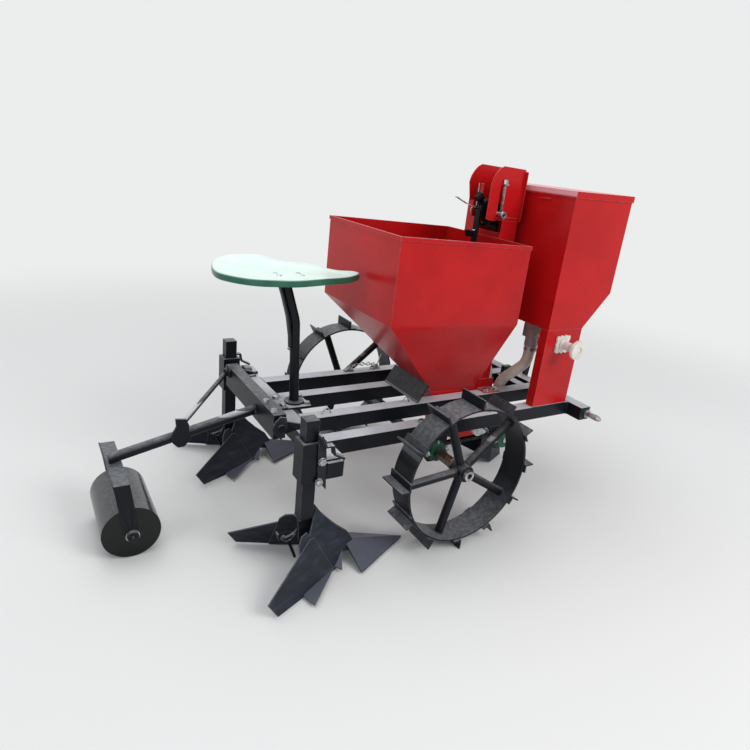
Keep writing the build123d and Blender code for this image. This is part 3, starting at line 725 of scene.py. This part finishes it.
class PLANTER_OT_drive_chain(bpy.types.Operator):
    """The roller chain from the axle to the elevator, link by link"""
    bl_idname = "planter.drive_chain"
    bl_label = "Drive chain"

    def execute(self, context):
        length = 2 * BOOT_X + 2 * pi * CHAIN_RADIUS
        count = 2 * round(length / CHAIN_PITCH / 2)
        step = length / count
        stations = [self.station(k * step) for k in range(count)]
        roller = turned([(0.0058, -0.0052), (0.0058, 0.0052)], "chain_roller", 12)
        places = [facing(spot(x, CHAIN_Y, z), (0, 1, 0)) for x, z in stations]
        rollers = copies(roller, "chain_rollers", places)
        inner, outer = [], []
        for k, (x0, z0) in enumerate(stations):
            x1, z1 = stations[(k + 1) % count]
            lift = 6.2 if k % 2 else 8.0
            along = Vector((x1 - x0, 0, z1 - z0)).normalized()
            for side in (1, -1):
                out = Vector((0, side, 0))
                turn = Matrix((along, out.cross(along), out)).transposed().to_4x4()
                middle = spot((x0 + x1) / 2, CHAIN_Y + side * lift, (z0 + z1) / 2)
                (inner if k % 2 else outer).append(Matrix.Translation(middle) @ turn)
        parts = [rollers]
        for rows, name in ((inner, "inner_plates"), (outer, "outer_plates")):
            half = step / 2000
            points = [(end * (half + 0.0072 * cos(a)), end * 0.0072 * sin(a))
                      for end in (1, -1) for a in (-1.4, -0.7, 0.0, 0.7, 1.4)]
            points.insert(5, (0.0, 0.0056))
            points.append((0.0, -0.0056))
            parts.append(copies(flat_shape(points, name, 0.0016, Matrix()), name, rows))
        chain = dress(join(parts, "roller_chain"), "chain_steel")
        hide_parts("drive_chain")
        return {"FINISHED"}

    def station(self, run):
        """The place along the chain's line, in millimetres, for a run from the axle's top."""
        half = BOOT_X + pi * CHAIN_RADIUS
        way = 1 if run < half else -1
        run %= half
        x, z = run, CHAIN_RADIUS
        if run > BOOT_X:
            angle = pi / 2 - (run - BOOT_X) / CHAIN_RADIUS
            x, z = BOOT_X + CHAIN_RADIUS * cos(angle), CHAIN_RADIUS * sin(angle)
        # The lower half is the upper one turned half round the chain's middle
        return BOOT_X / 2 + way * (x - BOOT_X / 2), AXLE_Z + way * z


class PLANTER_OT_clamps(bpy.types.Operator):
    """Clamp plates and bent straps at the ridgers, the roller's bar and the seat's base"""
    bl_idname = "planter.clamps"
    bl_label = "Clamps and straps"

    def execute(self, context):
        for side, name in ((1, "left"), (-1, "right")):
            plate = flat_shape(side_points([(-499, 452), (-475, 432), (-468, 346), (-465, 275), (-493, 310)]),
                               "clamp_plate_" + name, 0.006, across_x(0, side * 388))
            soften(plate, 0.0008)
            bent = strap(side_points([(-496, 454), (-479, 418), (-457, 417), (-452, 390), (-419, 372)]),
                         "clamp_strap_" + name, 0.022, 0.007, across_x(0, side * 395))
            dress(join([plate, bent], "ridger_clamp_" + name), "strap_paint")
        bracket = strap(side_points([(-432, 369), (-469, 369), (-469, 331)]), "seat_bracket", 0.112,
                        0.004, across_x(0, 27))
        dress(bracket, "strap_paint")
        pointed = flat_shape(side_points([(-521, 414), (-502, 409), (-498, 374), (-516, 335), (-548, 372),
                                          (-538, 398)]), "bar_end_plate", 0.004, across_x(0, -176))
        soften(pointed, 0.0008)
        dress(pointed, "strap_paint", "roller_arm")
        bolts = [facing(spot(x, y, 415), UP, y) for x, y in ((-524, -61), (-528, -139))]
        dress(copies(hex_head(0.017, 0.008), "bar_bolts", bolts), "bright_steel", "roller_arm")
        boss = turned([(0.025, 0.0), (0.025, 0.006), (0.019, 0.009), (0.0125, 0.009), (0.0125, 0.015),
                       (0.009, 0.018)], "bar_boss")
        boss.data.transform(facing(spot(-538, 268, 400), (-1, 0, 0)))
        dress(boss, "black_paint", "roller_arm")
        far = strap([(0.405, 0.363), (0.376, 0.364), (0.368, 0.377), (0.338, 0.377), (0.330, 0.364),
                     (0.287, 0.364)], "beam_strap", 0.026, 0.005, across_y(-442))
        dress(far, "strap_paint")
        return {"FINISHED"}


class PLANTER_OT_beam_fittings(bpy.types.Operator):
    """Wire hooks, the short chain and its rod on the beams"""
    bl_idname = "planter.beam_fittings"
    bl_label = "Beam fittings"

    def execute(self, context):
        wire = sizes().wire_radius
        hooks = []
        for x in (-325, -12):
            rows = ((-17, -91, 359), (-9, -91, 374), (0, -92, 384), (6, -93, 381), (13, -92, 370),
                    (19, -91, 359))
            hooks.append(rod_along([spot(x + along, y, z) for along, y, z in rows], wire, "hook"))
        dress(join(hooks, "beam_hooks"), "bright_steel")
        link = turned([(0.0085, 0.0), (0.0066, 0.0019), (0.0047, 0.0), (0.0066, -0.0019)], "link", 14, True)
        places = []
        for k in range(15):
            angle = pi * (0.06 + 0.88 * k / 14)
            point = spot(-72 * cos(angle), OUTER_BEAM_Y, 366 + 20 * sin(angle))
            places.append(Matrix.Translation(point) @ Matrix.Rotation(radians(90 * (k % 2)), 4, "X"))
        dress(copies(link, "short_chain", places), "bright_steel", angle=60)
        eyes = [facing(spot(x, OUTER_BEAM_Y, BEAM_TOP), UP) for x in (-74, 74)]
        dress(copies(nut_and_stud(0.015), "chain_bolts", eyes), "bright_steel")
        rod = [spot(x, OUTER_BEAM_Y, z) for x, z in ((66, 362), (72, 380), (84, 422))]
        dress(rod_along(rod, wire, "chain_rod"), "bright_steel")
        return {"FINISHED"}


class PLANTER_OT_head_fittings(bpy.types.Operator):
    """Shaft caps, drum cheeks and hubs, cup nuts, the sprung strip and the head's seam"""
    bl_idname = "planter.head_fittings"
    bl_label = "Elevator head fittings"

    def execute(self, context):
        cap = turned([(0.0132, -0.001), (0.0132, 0.003), (0.0118, 0.0055), (0.0068, 0.0055), (0.0045, 0.003)],
                     "shaft_cap", 28)
        places = outward(HEAD_X, 80, HEAD_Z)
        dress(copies(cap, "shaft_caps", places), "bright_steel")
        plug = turned([(0.005, 0.0), (0.005, 0.0046), (0.004, 0.0052)], "shaft_plug", 16)
        dress(copies(plug, "shaft_plugs", places), "chain_steel")
        cheek = turned([(0.042, -0.001), (0.0475, 0.003), (0.0465, 0.004), (0.041, 0.0015), (0.014, 0.0015),
                        (0.014, -0.001)], "drum_cheek", 40, True)
        places = outward(HEAD_X, 16.6, HEAD_Z) + outward(BOOT_X, 16.6, AXLE_Z)
        dress(copies(cheek, "drum_cheeks", places), "black_rubber")
        hub = turned([(0.0115, 0.0), (0.02, 0.0), (0.02, 0.022), (0.018, 0.024), (0.0115, 0.024)],
                     "drum_hub", 28, True)
        dress(copies(hub, "drum_hubs", outward(HEAD_X, 18, HEAD_Z)), "black_rubber")
        # The nuts of the cups sit on the chain's rear run, which leans forward as it rises
        nuts = []
        for k in range(8):
            z = 293 + 95 * k
            lean = (HEAD_X - BOOT_X) * (z - AXLE_Z) / (HEAD_Z - AXLE_Z)
            nuts.append(facing(spot(BOOT_X + lean - 53, 0, z - 2), UP, 20 * k))
        dress(copies(nut_and_stud(0.009), "cup_nuts", nuts), "bright_steel")
        leaf = strap(side_points([(262, 1034), (240, 1042), (205, 1049), (157, 1069)]), "sprung_strip",
                     0.016, 0.002, across_x())
        dress(leaf, "bright_steel")
        seam = strap(side_points([(303, 1012), (399, 1012)]), "head_seam", 0.004, 0.004, across_x(0, -61.5))
        dress(seam, "red_paint")
        return {"FINISHED"}


class PLANTER_OT_metering_knobs(bpy.types.Operator):
    """The fertiliser rate knobs: moulded flange, ribbed barrel and domed disc"""
    bl_idname = "planter.metering_knobs"
    bl_label = "Metering knobs"

    def execute(self, context):
        disc = turned([(0.030, -0.0005), (0.0346, 0.002), (0.0346, 0.009), (0.0325, 0.0125),
                       (0.027, 0.0148), (0.013, 0.0155), (0.0115, 0.0142)], "knob_disc", 48)
        barrel = turned([(0.0134, -0.066), (0.020, -0.064), (0.020, -0.056), (0.0150, -0.052),
                         (0.0150, -0.036), (0.0165, -0.034), (0.0165, -0.030), (0.0150, -0.028),
                         (0.0150, -0.012), (0.021, -0.002)], "knob_barrel", 32)
        knobs = copies(join([disc, barrel], "knob"), "knobs", outward(KNOB_X, 341, KNOB_Z))
        dress(knobs, "white_plastic")
        outline = [(-33, 22), (-28, 33), (-17, 29), (-8, 35), (3, 30), (12, 36), (22, 30), (31, 33),
                   (34, 21), (29, 9), (34, -4), (28, -14), (33, -26), (22, -34), (11, -29), (1, -35),
                   (-10, -29), (-21, -34), (-32, -27), (-28, -13), (-34, 0), (-29, 11)]
        flanges = []
        for side in (1, -1):
            flange = flat_shape(side_points([(KNOB_X + x, KNOB_Z + z) for x, z in outline]), "flange",
                                0.0075, across_x(0, side * 276))
            with editing(flange) as mesh:
                pick(mesh, lambda f: f.normal.y * side > 0.9)
                bpy.ops.mesh.inset(thickness=0.007, depth=0.0)
                bpy.ops.mesh.inset(thickness=0.006, depth=0.004)
                bpy.ops.mesh.inset(thickness=0.003, depth=-0.002)
            soften(flange, 0.0012)
            flanges.append(flange)
        dress(join(flanges, "knob_flanges"), "white_plastic")
        return {"FINISHED"}


class PLANTER_OT_box_fittings(bpy.types.Operator):
    """The lip below the lid, flanges of the outlets and clips of the hoses"""
    bl_idname = "planter.box_fittings"
    bl_label = "Fertiliser box fittings"

    def execute(self, context):
        lip = strap([(-0.163, 1.0955), (-0.115, 1.0925)], "box_lip", 0.006, 0.0035, across_y(434))
        dress(lip, "lid_paint")
        flanges = []
        for side in (1, -1):
            outline = ((-33, -33), (33, -33), (39, -27), (39, 27), (33, 33), (-33, 33), (-39, 27),
                       (-39, -27))
            points = [(x / 1000, y / 1000) for x, y in outline]
            place = Matrix.Translation(spot(KNOB_X, side * 127, 654.2))
            flanges.append(flat_shape(points, "flange", 0.003, place))
        dress(join(flanges, "outlet_flanges"), "grey_plastic")
        screws = [facing(spot(x, side * y, 652.6), (0, 0, -1), x) for side in (1, -1)
                  for x in (484, 550) for y in (101, 153)]
        dress(copies(hex_head(0.009, 0.004), "outlet_screws", screws), "bright_steel")
        band = turned([(0.0212, -0.006), (0.0232, -0.0055), (0.0232, 0.0055), (0.0212, 0.006)],
                      "band", 36, True)
        housing = hex_head(0.009, 0.016, "screw")
        housing.data.transform(facing(Vector((0.008, 0.0262, 0.0)), (-1, 0, 0)))
        clip = join([band, housing], "clip")
        ends = [Matrix.Translation(spot(x, side * y, z)) @ Matrix.Rotation(turn * side, 4, "Z")
                for x, y, z, turn in ((517, 127, 538, 2.6), (480, 36, 298, 2.2)) for side in (1, -1)]
        dress(copies(clip, "hose_clips", ends), "bright_steel")
        return {"FINISHED"}


class PLANTER_OT_seat_pan(bpy.types.Operator):
    """The pressed seat pan with its rolled edge"""
    bl_idname = "planter.seat_pan"
    bl_label = "Seat pan"

    def execute(self, context):
        corners = [Vector(p) for p in ((-226, 70), (-182, 138), (-102, 179), (-23, 155), (57, 128), (136, 76),
                                       (222, 22))]
        corners += [Vector((p.x, -p.y)) for p in reversed(corners)]
        for cut in range(3):
            corners = [a.lerp(b, t) for a, b in zip(corners, corners[1:] + corners[:1]) for t in (0.25, 0.75)]
        # The rim's lower edge, then the sizes and heights of the rings over the roll to the middle
        size, height = 0.985, -0.014
        rings = [(1.0, -0.0115), (1.004, 0.0), (0.998, 0.006), (0.983, 0.0085), (0.962, 0.008),
                 (0.93, 0.0045), (0.87, 0.0), (0.76, -0.0035), (0.58, -0.0055), (0.36, -0.006),
                 (0.15, -0.006)]
        points = [(p.x * 1.015 * size / 1000, p.y * 1.015 * size / 1000) for p in corners]
        pan = flat_shape(points, "seat_shell", 0.0, Matrix.Translation((0, 0, height)), filled=False)
        with editing(pan, whole=True):
            grow(rings, size, height)
            bpy.ops.mesh.extrude_edges_move()
            bpy.ops.mesh.merge(type="CENTER")
            face_outward()
        # The sides rise behind and sink towards the narrow front, as the press shaped them
        for vertex in pan.data.vertices:
            x, y = vertex.co.x * 1000, vertex.co.y * 1000
            reach = min(1.0, sqrt((x / 224) ** 2 + (y / 172) ** 2))
            edge = max(0.0, (reach - 0.3) / 0.7) ** 2
            rise = 13 * bump_at(x, -130, 95) - 4 * bump_at(x, 10, 40) + 6 * bump_at(x, 80, 40)
            rise += -9 * bump_at(x, 150, 40) + 5 * bump_at(x, 222, 30)
            rise *= 0.3 + 0.7 * min(1.0, max(0.0, (y + 90) / 180))
            vertex.co.z += edge * rise / 1000
        modify(pan, "SOLIDIFY", thickness=0.0025, offset=-1.0)
        modify(pan, "SUBSURF", levels=1, render_levels=1)
        place = Matrix.Translation(spot(-438, SEAT_Y, 807)) @ Matrix.Rotation(radians(-15), 4, "Z")
        pan.data.transform(place)
        dress(pan, "green_seat", angle=60)
        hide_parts("seat_pan")
        return {"FINISHED"}


def bump_at(value, middle, width):
    """A smooth bump of height 1 round a middle."""
    return 1 / (1 + ((value - middle) / width) ** 4)


class PLANTER_OT_seat_fittings(bpy.types.Operator):
    """Bolts of the seat pan and the stiffening strip behind its post"""
    bl_idname = "planter.seat_fittings"
    bl_label = "Seat fittings"

    def execute(self, context):
        spots = [(-474, 0), (-474, 34), (-398, 0), (-398, 34)]
        heads = [facing(spot(x, y, 800.6), UP) for x, y in spots]
        dress(copies(round_head(0.0075, 0.003), "seat_bolts", heads), "bright_steel")
        strip = strap(side_points([(-464, 766), (-452, 730), (-433, 664), (-422, 600), (-419, 560)]),
                      "post_strip", 0.024, 0.005, across_x(0, SEAT_Y))
        dress(strip, "black_paint")
        return {"FINISHED"}


class PLANTER_OT_ridger_fittings(bpy.types.Operator):
    """The hook with its clamp behind each ridger"""
    bl_idname = "planter.ridger_fittings"
    bl_label = "Ridger fittings"

    def execute(self, context):
        hooks = []
        for side in (1, -1):
            y = side * 354
            for rows, radius in (([(-519, 166), (-521, 150), (-525, 134), (-541, 118), (-566, 113)], 0.0055),
                                 ([(-560, 112), (-552, 96), (-541, 70), (-530, 40)], 0.0045)):
                hooks.append(rod_along([spot(x, y, z) for x, z in rows], radius, "hook"))
            clamp = strap(side_points([(-590, 138), (-584, 118), (-566, 104), (-546, 108), (-536, 124)]),
                          "hook_clamp", 0.018, 0.006, across_x(0, y))
            nut = nut_and_stud(0.012)
            nut.data.transform(facing(spot(-566, y - side * 3, 112), (-0.5, 0, 0.86)))
            hooks += [clamp, nut]
        dress(join(hooks, "ridger_hooks"), "black_paint")
        return {"FINISHED"}


class PLANTER_OT_weld_beads(bpy.types.Operator):
    """Weld beads of the frame, the wheels, the seat's post and the roller's arm"""
    bl_idname = "planter.weld_beads"
    bl_label = "Weld beads"

    def execute(self, context):
        rows = []
        for y in (OUTER_BEAM_Y, INNER_BEAM_Y, -INNER_BEAM_Y, -OUTER_BEAM_Y):
            for x in (-417, 626):
                rows += line_points((x, y - 25, BEAM_TOP), (x, y + 25, BEAM_TOP))
                for side in (-25, 25):
                    rows += line_points((x, y + side, BEAM_TOP), (x, y + side, BEAM_TOP - 50))
        for side in (1, -1):
            rows += line_points((436, side * 272, 361.5), (610, side * 272, 361.5))
            rows += line_points((676, side * 32, 330), (676, side * 32, 415))
            for x in (-530, -490):
                rows += line_points((x, side * 334, 176), (x, side * 374, 176), 4)
        rows += ring_points((-394, SEAT_Y, 374.5), UP, 17)
        for y in (64, -64):
            rows += line_points((345, y, 365.5), (420, y, 365.5))
        dress(weld_bead(rows, 0.0024, "frame_welds"), "black_paint", angle=60)
        rings = []
        for side in (1, -1):
            for angle in (112, 40, -32, -104, -176):
                way = Vector((cos(radians(angle)), 0, sin(radians(angle))))
                centre = Vector((0, side * 424, AXLE_Z))
                rings += ring_points(centre + way * 223, way, 14.5, 4)
                rings += ring_points(centre + way * 29, way, 14.5, 4)
        dress(weld_bead(rings, 0.0026, "wheel_welds"), "black_paint", "wheels", 60)
        arm = Vector((-980, 0, 265)) - Vector((-538, 0, 366))
        ring = ring_points((-540, 0, 365), arm, 16.5)
        ring += line_points((-987, -139, 251), (-987, 139, 251), 5)
        dress(weld_bead(ring, 0.0026, "arm_welds"), "black_paint", "roller_arm", 60)
        return {"FINISHED"}


class PLANTER_OT_stage(bpy.types.Operator):
    """Floor, light and camera"""
    bl_idname = "planter.stage"
    bl_label = "Stage"

    def execute(self, context):
        self.add_floor()
        self.light_world()
        self.add_lamp("key light", (1.9, -4.1, 3.7), 3.0, 150)
        self.add_lamp("fill light", (-4.2, -1.8, 2.6), 3.0, 36)
        self.add_lamp("top light", (-0.6, 1.4, 4.6), 4.0, 90)
        self.add_camera()
        context.scene.view_settings.view_transform = "Standard"
        return {"FINISHED"}

    def add_floor(self):
        floor = primitive(bpy.ops.mesh.primitive_circle_add, "floor", vertices=96,
                          radius=sizes().floor_radius, fill_type="NGON")
        material, tree, shader, place = new_material("Studio floor")
        fill(tree, shader, {"Base Color": colours().floor, "Roughness": 0.75})
        # The floor thins out far away, so that it meets the backdrop without a line
        far = add_node(tree, "ShaderNodeVectorMath", {0: place}, operation="LENGTH")
        fade = add_node(tree, "ShaderNodeMapRange", {
            "Value": far.outputs["Value"], "From Min": 1.4, "From Max": 4.6},
            interpolation_type="SMOOTHERSTEP")
        clear = add_node(tree, "ShaderNodeBsdfTransparent")
        mixed = add_node(tree, "ShaderNodeMixShader", {
            "Fac": fade.outputs["Result"], 1: shader.outputs["BSDF"], 2: clear.outputs["BSDF"]})
        output = next(n for n in tree.nodes if n.type == "OUTPUT_MATERIAL")
        tree.links.new(mixed.outputs["Shader"], output.inputs["Surface"])
        floor.data.materials.append(material)

    def light_world(self):
        world = bpy.data.worlds.new("Studio")
        bpy.context.scene.world = world
        world.use_nodes = True
        tree = world.node_tree
        tree.nodes.clear()
        rays = add_node(tree, "ShaderNodeLightPath")
        seen = reckon(tree, "MAXIMUM", rays.outputs["Is Camera Ray"], rays.outputs["Is Glossy Ray"])
        seen = reckon(tree, "MAXIMUM", seen, rays.outputs["Is Transmission Ray"])
        light = add_node(tree, "ShaderNodeBackground", {"Color": tone("#f4f6fa"), "Strength": 0.55})
        shown = add_node(tree, "ShaderNodeBackground", {"Color": colours().backdrop, "Strength": 1.0})
        mixed = add_node(tree, "ShaderNodeMixShader", {
            "Fac": seen, 1: light.outputs["Background"], 2: shown.outputs["Background"]})
        add_node(tree, "ShaderNodeOutputWorld", {"Surface": mixed.outputs["Shader"]})

    def add_lamp(self, name, place, size, power):
        lamp = bpy.data.lights.new(name, "AREA")
        lamp.shape = "DISK"
        lamp.size = size
        lamp.energy = power
        holder = bpy.data.objects.new(name, lamp)
        bpy.context.collection.objects.link(holder)
        holder.location = place
        aim = Vector((0.05, 0.0, 0.55)) - holder.location
        holder.rotation_euler = aim.to_track_quat("-Z", "Y").to_euler()

    def add_camera(self):
        data = bpy.data.cameras.new("camera")
        data.sensor_width = 36.0
        data.lens = 28.42
        camera = bpy.data.objects.new("camera", data)
        bpy.context.collection.objects.link(camera)
        camera.location = (-1.0376, -1.6727, 1.1681)
        camera.rotation_euler = (radians(69.753), radians(-5.878), radians(-30.411))
        bpy.context.scene.camera = camera


class PLANTER_PT_panel(bpy.types.Panel):
    """Lists the planter's sizes, colours and steps in the sidebar"""
    bl_idname = "PLANTER_PT_panel"
    bl_label = "Potato planter"
    bl_space_type = "VIEW_3D"
    bl_region_type = "UI"
    bl_category = "Planter"

    def draw(self, context):
        column = self.layout.column(align=True)
        for group in (context.scene.planter_sizes, context.scene.planter_colours):
            for name in group.__annotations__:
                column.prop(group, name)
        for step in STEPS:
            column.operator(step.bl_idname)


STEPS = (
    PLANTER_OT_paint_frame,
    PLANTER_OT_frame_bolts,
    PLANTER_OT_axle_fittings,
    PLANTER_OT_drive_chain,
    PLANTER_OT_clamps,
    PLANTER_OT_beam_fittings,
    PLANTER_OT_head_fittings,
    PLANTER_OT_metering_knobs,
    PLANTER_OT_box_fittings,
    PLANTER_OT_seat_pan,
    PLANTER_OT_seat_fittings,
    PLANTER_OT_ridger_fittings,
    PLANTER_OT_weld_beads,
    PLANTER_OT_stage,
)
CLASSES = (PlanterSizes, PlanterColours) + STEPS + (PLANTER_PT_panel,)


def register():
    for kind in CLASSES:
        bpy.utils.register_class(kind)
    bpy.types.Scene.planter_sizes = bpy.props.PointerProperty(type=PlanterSizes)
    bpy.types.Scene.planter_colours = bpy.props.PointerProperty(type=PlanterColours)


def unregister():
    del bpy.types.Scene.planter_colours
    del bpy.types.Scene.planter_sizes
    for kind in reversed(CLASSES):
        bpy.utils.unregister_class(kind)


def main():
    register()
    for step in STEPS:
        group, name = step.bl_idname.split(".")
        getattr(getattr(bpy.ops, group), name)()


if __name__ == "__main__":
    main()
